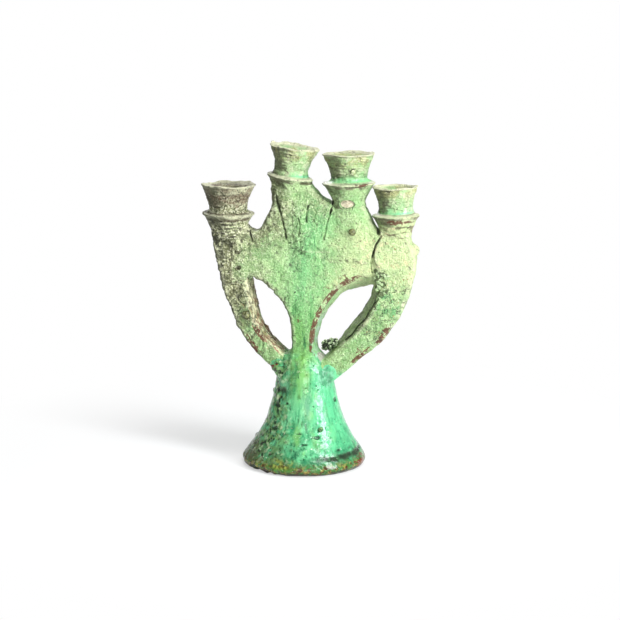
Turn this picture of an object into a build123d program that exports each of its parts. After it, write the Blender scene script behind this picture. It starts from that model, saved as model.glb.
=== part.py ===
"""Hand-built, green-glazed clay candelabra shaped as a small branching tree.

A wheel-thrown hollow foot carries a flat stem that opens into a fan. Two outer arms spring from the
foot's shoulder and close against the fan's sides, two inner branches rise from its top edge, and each
of the four ends carries a thrown candle cup. Every member was made by itself and luted on with slip,
so each is one solid here, and neighbours meet face to face: a member that is set into another is cut
out of it, and each cup's underside has a blind hole for the tenon of the limb below it.

Frame: millimetres, +Z up, front towards -Y, origin in the middle of the foot's resting ring.
Heights of everything above the foot are counted from the top of the foot's crown.
"""

import os
from math import cos, hypot, radians, sin, sqrt

from build123d import *

# --- thrown foot -------------------------------------------------------------------------------
FOOT_RADIUS = 58.0          # outside of the rolled rim
FOOT_HEIGHT = 104.0         # resting plane to the top of the crown
FOOT_NECK_RADIUS = 26.2     # narrowest place, just under the crown
FOOT_CROWN = 20.0           # height of the closed crown above the neck
FOOT_FLARE = 1.85           # power of the flare from neck to rim
FOOT_RIM_HEIGHT = 5.0       # height of the rim's widest place
FOOT_RIM_UNDERCUT = 2.5     # how far the rim draws in towards the resting ring
FOOT_WALL = 7.5             # thickness of the thrown wall
FOOT_SIDE_POINTS = 6        # points that carry the flare's curve

# --- slab members: fan, arms and webs ------------------------------------------------------------
SLAB_THICKNESS = 26.0       # fan and outer arms, front to back
SLAB_EDGE_ROUND = 4.5       # rounding of the slab members' long edges
WEB_THICKNESS = 21.0        # the thinner webs pressed into the crotches
WEB_EDGE_ROUND = 3.0

# --- stem and fan: half outline on each side, as (x, height above the crown). The last point of each
#     side lies under its arm, where the fan's blank is cut away ------------------------------------
STEM_HALF_WIDTH = 10.5      # narrowest place of the stem
STEM_ROOT_DEPTH = 7.0       # how far the stem is set down into the foot's crown
FAN_LEFT_FLANK = [(-10.8, 20), (-14.5, 36), (-21, 50), (-32, 64), (-47, 72.5), (-62, 76)]
FAN_RIGHT_FLANK = [(12.8, 20), (16.8, 33), (25.5, 46.5), (37, 58.5), (52, 66.5), (76, 70)]
FAN_TOP = 112.0             # top edge of the fan, where the branches are let in

# --- outer arms: (x, height, half width) down the middle of each arm, from cup to root ------------
LEFT_ARM = [
    (-68.0, 94, 14.8), (-64.9, 78, 13.8), (-60.3, 56, 12.6), (-56.4, 43, 11.4),
    (-50.8, 29, 10.2), (-42.6, 16, 9.4), (-32.4, 4, 9.2), (-18.0, -10, 9.4),
]
RIGHT_ARM = [
    (84.8, 98, 18.2), (83.9, 84, 19.4), (82.0, 70, 18.0), (76.8, 51, 16.4),
    (67.9, 35, 16.0), (57.3, 21, 15.4), (45.2, 8, 13.6), (25.0, -12, 11.0),
]
RIGHT_ARM_BEVEL = 5.5       # the right arm's inner edge is pared back this far at the front

# --- inner branches: root ellipse in the fan -------------------------------------------------------
BRANCH_ROOT_DEPTH = 10.0    # how far a branch is let down into the fan's top edge
BRANCH_RELIEF = 0.8         # how far a branch's root stands proud of the fan's face
LEFT_BRANCH_ROOT_X = 1.5
LEFT_BRANCH_ROOT_HALF_WIDTH = 17.0
RIGHT_BRANCH_ROOT_X = 43.5
RIGHT_BRANCH_ROOT_HALF_WIDTH = 22.0

# --- thrown candle cups ------------------------------------------------------------------------------
CANDLE_BORE_RADIUS = 11.5   # takes a 22 mm household candle
CANDLE_BORE_DEPTH = 24.0
CUP_DISH_DEPTH = 3.5        # the mouth dishes this far down to the bore
CUP_RIM_FLAT = 4.0          # width of the flat on top of the rim
CUP_RIM_BAND = 2.6          # upright band round the rim and round the drip ridge
CUP_RIDGE_THICKNESS = 3.0
TENON_RADIUS = 7.5          # peg on each limb's end, pressed into the cup's underside
TENON_LENGTH = 5.0

# name: (x, height of the underside, lean to the right in degrees, neck radius, ridge radius,
#        ridge height, waist radius, waist height, rim radius, rim height), heights along the axis
CUPS = {
    "left_outer_cup": (-71.2, 111.0, 0.5, 14.8, 24.0, 19.5, 17.6, 24.5, 24.8, 47.0),
    "left_inner_cup": (-15.6, 147.5, 8.0, 12.6, 20.9, 18.1, 15.7, 26.0, 22.2, 46.7),
    "right_inner_cup": (41.6, 143.0, -1.0, 14.8, 23.8, 17.7, 17.2, 25.0, 23.4, 45.0),
    "right_outer_cup": (85.1, 116.0, -1.5, 13.6, 21.4, 15.5, 15.6, 24.0, 20.4, 42.0),
}

# --- pressed-in webs: outlines as (x, height above the crown) ---------------------------------------
LEFT_FLANK_WEB = [(-48, 104), (-46, 113.5), (-40, 118), (-34, 129), (-29.5, 140), (-26, 151), (-8, 151), (0, 104)]
CENTRE_WEB = [(0, 104), (-4, 161), (4, 161.5), (13.5, 151.5), (26, 141.5), (38, 104)]
RIGHT_FLANK_WEB = [(48, 104), (50, 144), (57, 141), (60, 132), (65, 121), (72, 111), (72, 100)]
CROTCH_WEDGE = [(-62, 92), (-66, 116), (-55, 119.5), (-47, 114), (-44.5, 104), (-50, 92)]

# --- clay pressed round the roots. Wads: (x, y, height above the crown, radius) -----------------------
LEFT_ROOT_WAD = (-22.5, -10.6, -12.5, 6.0)
RIGHT_ROOT_WAD = (23.0, -10.0, -17.0, 6.0)
STEM_COLLAR_RADIUS = 16.2   # widest place of the coil that is smoothed round the stem's root
STEM_COLLAR_HALF_HEIGHT = 8.0
STEM_COLLAR_DROP = 1.5      # its middle lies this far under the top of the crown

# --- pellets and kiln crumbs fused into the glaze: (x, y, height above the crown, radius) -------------
PELLETS = {
    "left_arm_pellet": (-52.6, -13.2, 38.0, 4.2),
    "right_branch_pellet": (46.0, -14.6, 117.9, 3.2),
    "right_inner_cup_pellet": (47.4, -16.8, 172.4, 3.2),
    "right_arm_knob": (101.4, 3.0, 99.5, 5.0),
}
FOOT_PELLET_RADIUS = 2.6
FOOT_PELLET_HEIGHT = 40.0   # above the resting plane
FOOT_PELLET_TURN = 31.0     # degrees round from the front, towards the right
CROTCH_CLUMP = (22.0, 3.0, 7.0, 4.4)     # crumbs lying on the right arm's inner face
FAN_EDGE_CRUST = (70.5, -12.4, 68.0, 2.8)    # lowest crumb of a row where the fan's tip meets the right arm
CRUST_CRUMBS = 3
CRUMB_SPREAD = 0.75         # how far the outer crumbs of a clump sit off its middle, in radii
CRUMB_PITCH = 1.4           # how far the crumbs of a row sit apart, in radii


def lifted(points):
    """Turns (x, height above the crown) into (x, z)."""
    return [(x, FOOT_HEIGHT + height) for x, height in points]


def slab(edges, thickness, rounding):
    """An outline drawn in the upright middle plane, thickened both ways and eased along its long edges."""
    face = Plane.XZ * make_face(edges)
    body = extrude(face, amount=thickness / 2, both=True)
    rims = body.faces().sort_by(Axis.Y)
    return fillet(rims[0].edges() + rims[-1].edges(), rounding)


def foot_radius_at(z):
    """Outside radius of the foot's flare at a height between rim and neck."""
    neck_z = FOOT_HEIGHT - FOOT_CROWN
    share = (neck_z - z) / (neck_z - FOOT_RIM_HEIGHT)
    return FOOT_NECK_RADIUS + (FOOT_RADIUS - FOOT_NECK_RADIUS) * share**FOOT_FLARE


def foot_side(inset):
    """The flare's profile from rim to neck as points, drawn in by a wall's thickness."""
    neck_z = FOOT_HEIGHT - FOOT_CROWN
    step = (neck_z - FOOT_RIM_HEIGHT) / (FOOT_SIDE_POINTS - 1)
    heights = [FOOT_RIM_HEIGHT + i * step for i in range(FOOT_SIDE_POINTS)]
    return [(foot_radius_at(z) - inset, z) for z in heights]


def crown(inset):
    """Curve that closes the foot over its neck, upright at the neck and level on the axis."""
    radius, rise = FOOT_NECK_RADIUS - inset, FOOT_CROWN - inset
    neck_z = FOOT_HEIGHT - FOOT_CROWN
    middle = (radius * sqrt(0.5), neck_z + rise * sqrt(0.5))
    return Spline((radius, neck_z), middle, (0, neck_z + rise), tangents=((0, 1), (-1, 0)))


def make_foot():
    ring = FOOT_RADIUS - FOOT_RIM_UNDERCUT
    outer, inner = foot_side(0), foot_side(FOOT_WALL)
    solid = make_face([
        Line((0, 0), (ring, 0)),
        ThreePointArc((ring, 0), (FOOT_RADIUS - FOOT_RIM_UNDERCUT * 0.2, FOOT_RIM_HEIGHT * 0.4), outer[0]),
        Spline(*outer),
        crown(0),
        Line((0, FOOT_HEIGHT), (0, 0)),
    ])
    hollow = make_face([
        Line((0, 0), (inner[0][0], 0)),
        Line((inner[0][0], 0), inner[0]),
        Spline(*inner),
        crown(FOOT_WALL),
        Line((0, FOOT_HEIGHT - FOOT_WALL), (0, 0)),
    ])
    return revolve(Plane.XZ * (solid - hollow), Axis.Z)


def cup_axis(name):
    """Middle of the cup's underside as (x, z), and the cup's axis as (x, z)."""
    x, height, lean = CUPS[name][:3]
    return (x, FOOT_HEIGHT + height), (sin(radians(lean)), cos(radians(lean)))


def cup_plane(name):
    """The plane of a cup's underside, with its normal along the cup's axis."""
    (x, z), (lean_x, lean_z) = cup_axis(name)
    return Plane(origin=(x, 0, z), x_dir=(lean_z, 0, -lean_x), z_dir=(lean_x, 0, lean_z))


def tenon(name):
    return cup_plane(name) * Cylinder(TENON_RADIUS, TENON_LENGTH, align=(Align.CENTER, Align.CENTER, Align.MIN))


def limb_section(plane, half, bevel):
    """A rounded block section, its own x towards the stem. Bevel draws in the stem side at the front."""
    deep = SLAB_THICKNESS / 2
    corners = [(-half, -deep), (half - bevel, -deep), (half, deep), (-half, deep)]
    outline = make_face(Polyline(*corners, close=True))
    return plane * fillet(outline.vertices(), SLAB_EDGE_ROUND)


def make_arm(middle, name, bevel=0.0):
    """An outer arm: a bent slab from the cup's underside down into the foot's shoulder, with a tenon on top."""
    (x, z), (lean_x, lean_z) = cup_axis(name)
    inward = 1 if x < 0 else -1
    points = [(x, z)] + [(x, FOOT_HEIGHT + height) for x, height, _ in middle]
    halves = [CUPS[name][3]] + [half for _, _, half in middle]
    sections = []
    for i, (x, z) in enumerate(points):
        before, after = points[max(i - 1, 0)], points[min(i + 1, len(points) - 1)]
        up = (lean_x, lean_z) if i == 0 else (before[0] - after[0], before[1] - after[1])
        length = hypot(*up)
        across = (up[1] / length * inward, 0, -up[0] / length * inward)
        plane = Plane(origin=(x, 0, z), x_dir=across, z_dir=(up[0] * inward, 0, up[1] * inward))
        sections.append(limb_section(plane, halves[i], bevel))
    return loft(sections) + tenon(name)


def make_branch(root_x, root_half_width, name):
    """An inner branch: drawn from a flat root in the fan to the round underside of its cup."""
    root = Plane(origin=(root_x, 0, FOOT_HEIGHT + FAN_TOP - BRANCH_ROOT_DEPTH), x_dir=(1, 0, 0), z_dir=(0, 0, 1))
    sections = [
        root * Ellipse(root_half_width, SLAB_THICKNESS / 2 + BRANCH_RELIEF),
        cup_plane(name) * Circle(CUPS[name][3]),
    ]
    return loft(sections) + tenon(name)


def make_fan():
    left, right = lifted(FAN_LEFT_FLANK), lifted(FAN_RIGHT_FLANK)
    root_z, top_z = FOOT_HEIGHT - STEM_ROOT_DEPTH, FOOT_HEIGHT + FAN_TOP
    stem_left, stem_right = (-STEM_HALF_WIDTH, root_z), (STEM_HALF_WIDTH, root_z)
    corner_left, corner_right = (left[-1][0], top_z), (right[-1][0], top_z)
    return slab([
        Line(stem_left, stem_right),
        Spline(stem_right, *right),
        Line(right[-1], corner_right),
        Line(corner_right, corner_left),
        Line(corner_left, left[-1]),
        Spline(*left[::-1], stem_left),
    ], SLAB_THICKNESS, SLAB_EDGE_ROUND)


def make_web(outline):
    """A thin web pressed into a crotch."""
    return slab(Polyline(*lifted(outline), close=True), WEB_THICKNESS, WEB_EDGE_ROUND)


def make_ball(x, y, height, radius):
    """A ball of clay, by its height above the crown."""
    return Pos(x, y, FOOT_HEIGHT + height) * Sphere(radius)


def make_stem_collar():
    """A flattened round coil about the stem's root."""
    outline = make_face([
        EllipticalCenterArc((0, 0), STEM_COLLAR_RADIUS, STEM_COLLAR_HALF_HEIGHT, start_angle=-90, arc_size=180),
        Line((0, STEM_COLLAR_HALF_HEIGHT), (0, -STEM_COLLAR_HALF_HEIGHT)),
    ])
    return Pos(0, 0, FOOT_HEIGHT - STEM_COLLAR_DROP) * revolve(Plane.XZ * outline, Axis.Z)


def make_cup(name):
    """A thrown candle cup: funnel, drip ridge, waisted socket and flat rim, with the tenon's hole below."""
    _, _, _, neck, ridge, ridge_z, waist, waist_z, rim, rim_z = CUPS[name]
    mouth_z = rim_z - CUP_DISH_DEPTH
    lip_top = ridge_z + CUP_RIDGE_THICKNESS / 2
    lip_bottom = ridge_z - CUP_RIDGE_THICKNESS / 2
    hip = (waist + (rim - waist) * 0.36, (waist_z + rim_z - CUP_RIM_BAND) / 2)
    profile = make_face([
        Line((TENON_RADIUS, 0), (neck, 0)),
        Spline((neck, 0), ((neck + ridge) / 2 - 1.2, lip_bottom * 0.55), (ridge, lip_bottom)),
        Line((ridge, lip_bottom), (ridge, lip_top)),
        Spline((ridge, lip_top), (waist + 1.4, lip_top + 2.0), (waist, waist_z), hip, (rim, rim_z - CUP_RIM_BAND)),
        Line((rim, rim_z - CUP_RIM_BAND), (rim, rim_z)),
        Line((rim, rim_z), (rim - CUP_RIM_FLAT, rim_z)),
        Line((rim - CUP_RIM_FLAT, rim_z), (CANDLE_BORE_RADIUS, mouth_z)),
        Line((CANDLE_BORE_RADIUS, mouth_z), (CANDLE_BORE_RADIUS, mouth_z - CANDLE_BORE_DEPTH)),
        Line((CANDLE_BORE_RADIUS, mouth_z - CANDLE_BORE_DEPTH), (0, mouth_z - CANDLE_BORE_DEPTH)),
        Line((0, mouth_z - CANDLE_BORE_DEPTH), (0, TENON_LENGTH)),
        Line((0, TENON_LENGTH), (TENON_RADIUS, TENON_LENGTH)),
        Line((TENON_RADIUS, TENON_LENGTH), (TENON_RADIUS, 0)),
    ])
    return cup_plane(name) * revolve(Plane.XZ * profile, Axis.Z)


def make_foot_pellet():
    turn = radians(FOOT_PELLET_TURN)
    reach = foot_radius_at(FOOT_PELLET_HEIGHT) + FOOT_PELLET_RADIUS * 0.2
    return Pos(reach * sin(turn), -reach * cos(turn), FOOT_PELLET_HEIGHT) * Sphere(FOOT_PELLET_RADIUS)


def make_clump(x, y, height, radius):
    """Crumbs baked together: one in the middle, the others standing off it on all sides."""
    off = radius * CRUMB_SPREAD
    clump = Pos(x, y, FOOT_HEIGHT + height) * Sphere(radius)
    outer = [(-1, -1, -0.6), (1, -0.8, 0.3), (-0.7, 0.3, 1), (0.8, 1, 0.7), (0.3, 0.9, -1)]
    for i, (dx, dy, dz) in enumerate(outer):
        place = Pos(x + dx * off, y + dy * off, FOOT_HEIGHT + height + dz * off)
        clump = clump + place * Sphere(radius * (0.7 + 0.07 * i))
    return clump


def make_crumb_row(x, y, height, radius):
    """Crumbs baked together one above another."""
    row = make_ball(x, y, height, radius)
    for i in range(1, CRUST_CRUMBS):
        row = row + make_ball(x, y, height + i * CRUMB_PITCH * radius, radius)
    return row


def build():
    """Every member by name, each cut back to the ones that it was pressed against."""
    parts = {"foot": make_foot()}

    def add(name, shape, *against):
        """Keeps the largest piece that is left once the neighbours are cut out."""
        left = shape.cut(*[parts[other] for other in against])
        parts[name] = max(left.solids(), key=lambda solid: solid.volume)

    add("left_outer_arm", make_arm(LEFT_ARM, "left_outer_cup"), "foot")
    add("right_outer_arm", make_arm(RIGHT_ARM, "right_outer_cup", RIGHT_ARM_BEVEL), "foot")
    arms = ("left_outer_arm", "right_outer_arm")
    add("left_inner_branch", make_branch(LEFT_BRANCH_ROOT_X, LEFT_BRANCH_ROOT_HALF_WIDTH, "left_inner_cup"), *arms)
    add("right_inner_branch", make_branch(RIGHT_BRANCH_ROOT_X, RIGHT_BRANCH_ROOT_HALF_WIDTH, "right_inner_cup"),
        *arms, "left_inner_branch")
    branches = ("left_inner_branch", "right_inner_branch")
    for name in CUPS:
        parts[name] = make_cup(name)
    add("stem_fan", make_fan(), "foot", *arms, *branches, "left_outer_cup")

    body = (*arms, *branches, "stem_fan", *CUPS)
    add("left_flank_web", make_web(LEFT_FLANK_WEB), *body)
    add("centre_web", make_web(CENTRE_WEB), *body, "left_flank_web")
    add("right_flank_web", make_web(RIGHT_FLANK_WEB), *body, "centre_web")
    add("left_crotch_wedge", make_web(CROTCH_WEDGE), *body, "left_flank_web")

    roots = ("foot", *arms, "stem_fan")
    add("left_root_wad", make_ball(*LEFT_ROOT_WAD), *roots)
    add("right_root_wad", make_ball(*RIGHT_ROOT_WAD), *roots)
    add("stem_root_collar", make_stem_collar(), *roots, "left_root_wad", "right_root_wad")

    for name, bound in zip(PELLETS, ("left_outer_arm", "right_inner_branch", "right_inner_cup", "right_outer_arm")):
        add(name, make_ball(*PELLETS[name]), bound)
    add("foot_pellet", make_foot_pellet(), "foot")
    add("crotch_clump", make_clump(*CROTCH_CLUMP), "right_outer_arm", "stem_root_collar")
    add("fan_edge_crust", make_crumb_row(*FAN_EDGE_CRUST), "right_outer_arm", "stem_fan")
    return parts


if __name__ == "__main__":
    os.makedirs("parts", exist_ok=True)
    for part_name, part in build().items():
        export_step(part, f"parts/{part_name}.step")
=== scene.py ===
"""A hand-built, green-glazed clay candelabra, shaped like a small branching tree, on a pale studio floor."""

import math

import bmesh
import bpy
import numpy as np
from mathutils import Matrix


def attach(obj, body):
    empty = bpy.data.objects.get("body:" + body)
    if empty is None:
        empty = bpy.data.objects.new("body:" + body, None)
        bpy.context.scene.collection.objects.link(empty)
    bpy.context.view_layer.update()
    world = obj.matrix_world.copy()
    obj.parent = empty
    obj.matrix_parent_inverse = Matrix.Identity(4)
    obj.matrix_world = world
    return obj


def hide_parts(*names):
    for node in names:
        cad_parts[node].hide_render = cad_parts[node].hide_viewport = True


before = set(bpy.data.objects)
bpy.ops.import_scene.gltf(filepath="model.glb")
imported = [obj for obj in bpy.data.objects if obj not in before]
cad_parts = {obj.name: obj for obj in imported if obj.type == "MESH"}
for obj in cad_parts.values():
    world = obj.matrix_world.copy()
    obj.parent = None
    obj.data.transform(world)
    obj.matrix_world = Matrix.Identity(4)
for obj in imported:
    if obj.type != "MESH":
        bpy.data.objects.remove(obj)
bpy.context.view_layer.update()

import openvdb
from mathutils import Vector

# ------------------------------------------------------------
# The studio: a pale floor under even white light. A tall, narrow lamp at the right front draws the
# long gleam down the foot and lets a soft shadow fall to the left; small ones at the top and front
# and a soft one behind fill in. The camera looks a little down from a little right of the middle.
MM = 0.001
middle = Vector((0.00528, 0.0, 0.14531))

camera_data = bpy.data.cameras.new("camera")
camera_data.lens = 93.5
camera_data.clip_end = 20.0
camera = bpy.data.objects.new("camera", camera_data)
bpy.context.collection.objects.link(camera)
camera_turn, camera_rise, camera_reach = math.radians(8.0), math.radians(11.5), 1.5
camera.location = middle + camera_reach * Vector((
    math.sin(camera_turn) * math.cos(camera_rise),
    -math.cos(camera_turn) * math.cos(camera_rise),
    math.sin(camera_rise),
))
camera.rotation_euler = (middle - camera.location).to_track_quat("-Z", "Y").to_euler()
bpy.context.scene.camera = camera
bpy.context.scene.view_settings.view_transform = "Standard"


def lamp(name, place, aim, size, power, colour=(1.0, 1.0, 1.0)):
    """A rectangular soft lamp that points at a place on the object."""
    data = bpy.data.lights.new(name, "AREA")
    data.shape = "RECTANGLE"
    data.size, data.size_y = size
    data.energy = power
    data.color = colour
    thing = bpy.data.objects.new(name, data)
    thing.location = place
    thing.rotation_euler = (Vector(aim) - Vector(place)).to_track_quat("-Z", "Y").to_euler()
    bpy.context.collection.objects.link(thing)


DAYLIGHT = (0.95, 0.98, 1.0)
lamp("window_lamp", (1.05, -0.60, 0.64), (0, 0, 0.10), (0.22, 0.9), 21.0, DAYLIGHT)
lamp("top_lamp", (0.35, -0.35, 1.25), (0, 0, 0.15), (0.35, 0.35), 5.5)
lamp("front_lamp", (0.30, -1.35, 0.45), (0, 0, 0.15), (0.5, 0.5), 5.5)
lamp("back_lamp", (-0.45, 1.25, 0.75), (0, 0, 0.15), (0.8, 0.8), 9.0)


def add_node(tree, kind, sockets=None, **settings):
    """A new node, with values or other nodes' outputs in its sockets."""
    node = tree.nodes.new(kind)
    for word, value in settings.items():
        setattr(node, word, value)
    for word, value in (sockets or {}).items():
        if isinstance(value, bpy.types.NodeSocket):
            tree.links.new(value, node.inputs[word])
        else:
            node.inputs[word].default_value = value
    return node


world = bpy.data.worlds.new("studio_world")
bpy.context.scene.world = world
world.use_nodes = True
tree = world.node_tree
tree.nodes.clear()
fill = add_node(tree, "ShaderNodeBackground", {"Color": (*DAYLIGHT, 1.0), "Strength": 0.27}).outputs[0]
white = add_node(tree, "ShaderNodeBackground", {"Color": (1.0, 1.0, 1.0, 1.0), "Strength": 1.0}).outputs[0]
camera_ray = add_node(tree, "ShaderNodeLightPath").outputs["Is Camera Ray"]
backdrop = add_node(tree, "ShaderNodeMixShader", {0: camera_ray, 1: fill, 2: white}).outputs[0]
add_node(tree, "ShaderNodeOutputWorld", {"Surface": backdrop})

bpy.ops.mesh.primitive_plane_add(size=6.0, location=(0, 0, 0))
floor = bpy.context.object
floor.name = "floor"
floor_paint = bpy.data.materials.new("floor_paint")
floor_paint.use_nodes = True
tree = floor_paint.node_tree
matt = tree.nodes["Principled BSDF"]
matt.inputs["Base Color"].default_value = (0.93, 0.93, 0.93, 1.0)
matt.inputs["Roughness"].default_value = 0.9
matt.inputs["Specular IOR Level"].default_value = 0.1
glow = add_node(tree, "ShaderNodeEmission", {"Strength": 1.0}).outputs[0]
place = add_node(tree, "ShaderNodeTexCoord").outputs["Object"]
reach = add_node(tree, "ShaderNodeVectorMath", {0: place}, operation="LENGTH").outputs["Value"]
fade = add_node(tree, "ShaderNodeMapRange", {0: reach, 1: 0.10, 2: 0.40, 3: 0.5},
                interpolation_type="SMOOTHSTEP")
camera_ray = add_node(tree, "ShaderNodeLightPath").outputs["Is Camera Ray"]
seen = add_node(tree, "ShaderNodeMath", {0: fade.outputs[0], 1: camera_ray}, operation="MULTIPLY").outputs[0]
shade = add_node(tree, "ShaderNodeMixShader", {0: seen, 1: matt.outputs[0], 2: glow}).outputs[0]
tree.links.new(shade, tree.nodes["Material Output"].inputs["Surface"])
floor.data.materials.append(floor_paint)

# ------------------------------------------------------------
# Foot: a hollow cone thrown on the wheel, closed over at the top, with a thick rolled rim. The
# potter's marks stay in the clay under a thick, running, glossy green glaze.
# Shapes from here on are fields of distance in millimetres on a block of points. A field is below
# nought inside the clay, and its skin is drawn out as a mesh.
FINE = 0.6
COARSE = 0.9
EDGE_REACH = 7.0
FOLD_REACH = 2.6


def block(corner_a, corner_b, step):
    """The points of a block, as three arrays of x, y and z that broadcast into one another."""
    axes = [np.arange(math.floor(a / step), math.ceil(b / step) + 1, dtype=np.float32) * step
            for a, b in zip(corner_a, corner_b)]
    return axes[0][:, None, None], axes[1][None, :, None], axes[2][None, None, :]


def noise(points, scale, seed, knots=40):
    """Smooth random heights, mostly from -1 to 1: random values on a lattice, joined by cubic splines."""
    values = np.random.default_rng(seed).standard_normal((knots, knots, knots)).astype(np.float32)
    for axis in reversed(points):
        place = axis.ravel() / scale
        cell = np.floor(place).astype(int)
        f = place - cell
        weights = np.zeros((len(place), knots), np.float32)
        shares = ((1 - f) ** 3, 3 * f**3 - 6 * f**2 + 4, 1 + 3 * f + 3 * f**2 - 3 * f**3, f**3)
        for k, share in enumerate(shares):
            weights[np.arange(len(place)), (cell + k - 1) % knots] = share / 6
        values = np.tensordot(weights, values, (1, 2))
    return values * 2.2


def flat(points):
    """The points with no depth, for noise that runs straight through a slab from front to back."""
    return points[0], np.zeros((1, 1, 1), np.float32), points[2]


def smooth(points, closed=False, parts=8):
    """More points along a soft curve through a few given ones."""
    p = np.array(points, float)
    if closed:
        p = np.vstack([p[-1:], p, p[:2]])
    else:
        p = np.vstack([2 * p[0] - p[1], p, 2 * p[-1] - p[-2]])
    t = np.linspace(0, 1, parts, endpoint=False)[:, None]
    curve = []
    for a, b, c, d in zip(p, p[1:], p[2:], p[3:]):
        curve.append(0.5 * (2 * b + (c - a) * t + (2 * a - 5 * b + 4 * c - d) * t**2
                            + (3 * b - a - 3 * c + d) * t**3))
    curve = np.vstack(curve)
    return curve if closed else np.vstack([curve, p[-2:-1]])


def off_line(line, u, v):
    """Distance from a line of points, for arrays of places (u, v)."""
    near = np.full(np.broadcast(u, v).shape, 1e9, np.float32)
    for (ax, ay), (bx, by) in zip(line, line[1:]):
        dx, dy = bx - ax, by - ay
        t = np.clip(((u - ax) * dx + (v - ay) * dy) / (dx * dx + dy * dy + 1e-9), 0, 1)
        near = np.minimum(near, (u - ax - t * dx) ** 2 + (v - ay - t * dy) ** 2)
    return np.sqrt(near)


def inside_of(outline, u, v):
    """Distance from a closed outline, below nought inside it, for arrays of places (u, v)."""
    outline = np.vstack([outline, outline[:1]])
    within = np.zeros(np.broadcast(u, v).shape, bool)
    for (ax, ay), (bx, by) in zip(outline, outline[1:]):
        if ay != by:
            within ^= ((ay <= v) != (by <= v)) & (u < ax + (v - ay) * (bx - ax) / (by - ay))
    return np.where(within, -1, 1) * off_line(outline, u, v)


def turned(outline, radius, height):
    """Distance from the solid that an outline of (radius, height) makes when it is turned on the wheel."""
    step = 0.4
    reach, bottom, top = outline[:, 0].max() + 12, outline[:, 1].min() - 12, outline[:, 1].max() + 12
    u = np.arange(0, reach, step, dtype=np.float32)
    v = np.arange(bottom, top, step, dtype=np.float32)
    table = inside_of(outline, u[:, None], v[None, :])
    a = np.clip(radius / step, 0, len(u) - 1.001)
    b = np.clip((height - bottom) / step, 0, len(v) - 1.001)
    i, j = a.astype(np.int32), b.astype(np.int32)
    a, b = a - i, b - j
    return ((table[i, j] * (1 - a) + table[i + 1, j] * a) * (1 - b)
            + (table[i, j + 1] * (1 - a) + table[i + 1, j + 1] * a) * b)


def merge(one, other, blend):
    """The union of two fields, with the corner between them filled by a soft fillet."""
    near = np.maximum(blend - np.abs(one - other), 0) / blend
    return np.minimum(one, other) - near * near * blend / 4


def ease(value, start, end):
    """Runs softly from 0 at start to 1 at end."""
    t = np.clip((value - start) / (end - start), 0, 1)
    return t * t * (3 - 2 * t)


def sample(field, points, places):
    """Reads a field at any places, between its points. Past the block's side it grows with the distance."""
    step = float(points[0].ravel()[1] - points[0].ravel()[0])
    at = np.stack([(places[:, k] - points[k].ravel()[0]) / step for k in range(3)])
    held = np.stack([np.clip(a, 0, field.shape[k] - 1.001) for k, a in enumerate(at)])
    cell = held.astype(int)
    part = held - cell
    total = np.linalg.norm(at - held, axis=0) * step
    for corner in range(8):
        bits = [(corner >> k) & 1 for k in range(3)]
        weight = 1
        for k in range(3):
            weight = weight * (part[k] if bits[k] else 1 - part[k])
        total = total + weight * field[cell[0] + bits[0], cell[1] + bits[1], cell[2] + bits[2]]
    return total


DRYING_CRACKS = (
    ((-24.5, 253), (-22.0, 243), (-19.5, 234), (-17.2, 224), (-15.4, 214)),
    ((28.6, 249), (26.0, 241), (24.0, 233), (21.6, 224), (19.6, 214)),
    ((72.0, 218), (68.4, 212), (65.4, 204), (64.2, 195), (63.8, 184)),
    ((-49.5, 221), (-48.2, 215), (-46.0, 210.5)),
    ((-4.0, 233), (-2.0, 224), (-2.6, 216)), ((6.5, 247), (3.6, 238), (4.4, 230)), ((12.0, 240), (10.4, 231)),
    ((70.0, 160), (62.4, 147), (54.0, 135), (46.4, 126), (40.0, 119)),
)
CHIPS = (
    ((-8.5, -36.7, 40.3), (3.4, 3, 1.4)), ((-1.5, -39.8, 35.8), (3.2, 3, 1.2)),
    ((15.9, -38.0, 33.0), (3.6, 3, 1.6)), ((36.6, -31.9, 20.4), (2.6, 4, 1.2)),
    ((29.8, -7.9, 62.3), (2.4, 4, 2.4)), ((-15.6, -33.2, 42.7), (3.4, 3, 2.2)),
    ((-24.0, -30.0, 38.0), (3.0, 4, 2.4)), ((-22.0, -26.0, 52.0), (2.6, 4, 3.2)),
    ((-25.5, -14.0, 70.0), (2.2, 4, 3.4)), ((5.0, -43.0, 27.0), (2.6, 3, 1.0)),
    ((-20.0, -38.0, 30.0), (2.6, 4, 1.4)), ((-12.0, -27.0, 62.0), (1.2, 3, 1.2)),
    ((26.0, 33.0, 36.0), (2.6, 4, 2.0)), ((-14.0, 38.0, 34.0), (3.0, 4, 1.6)),
)


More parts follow.
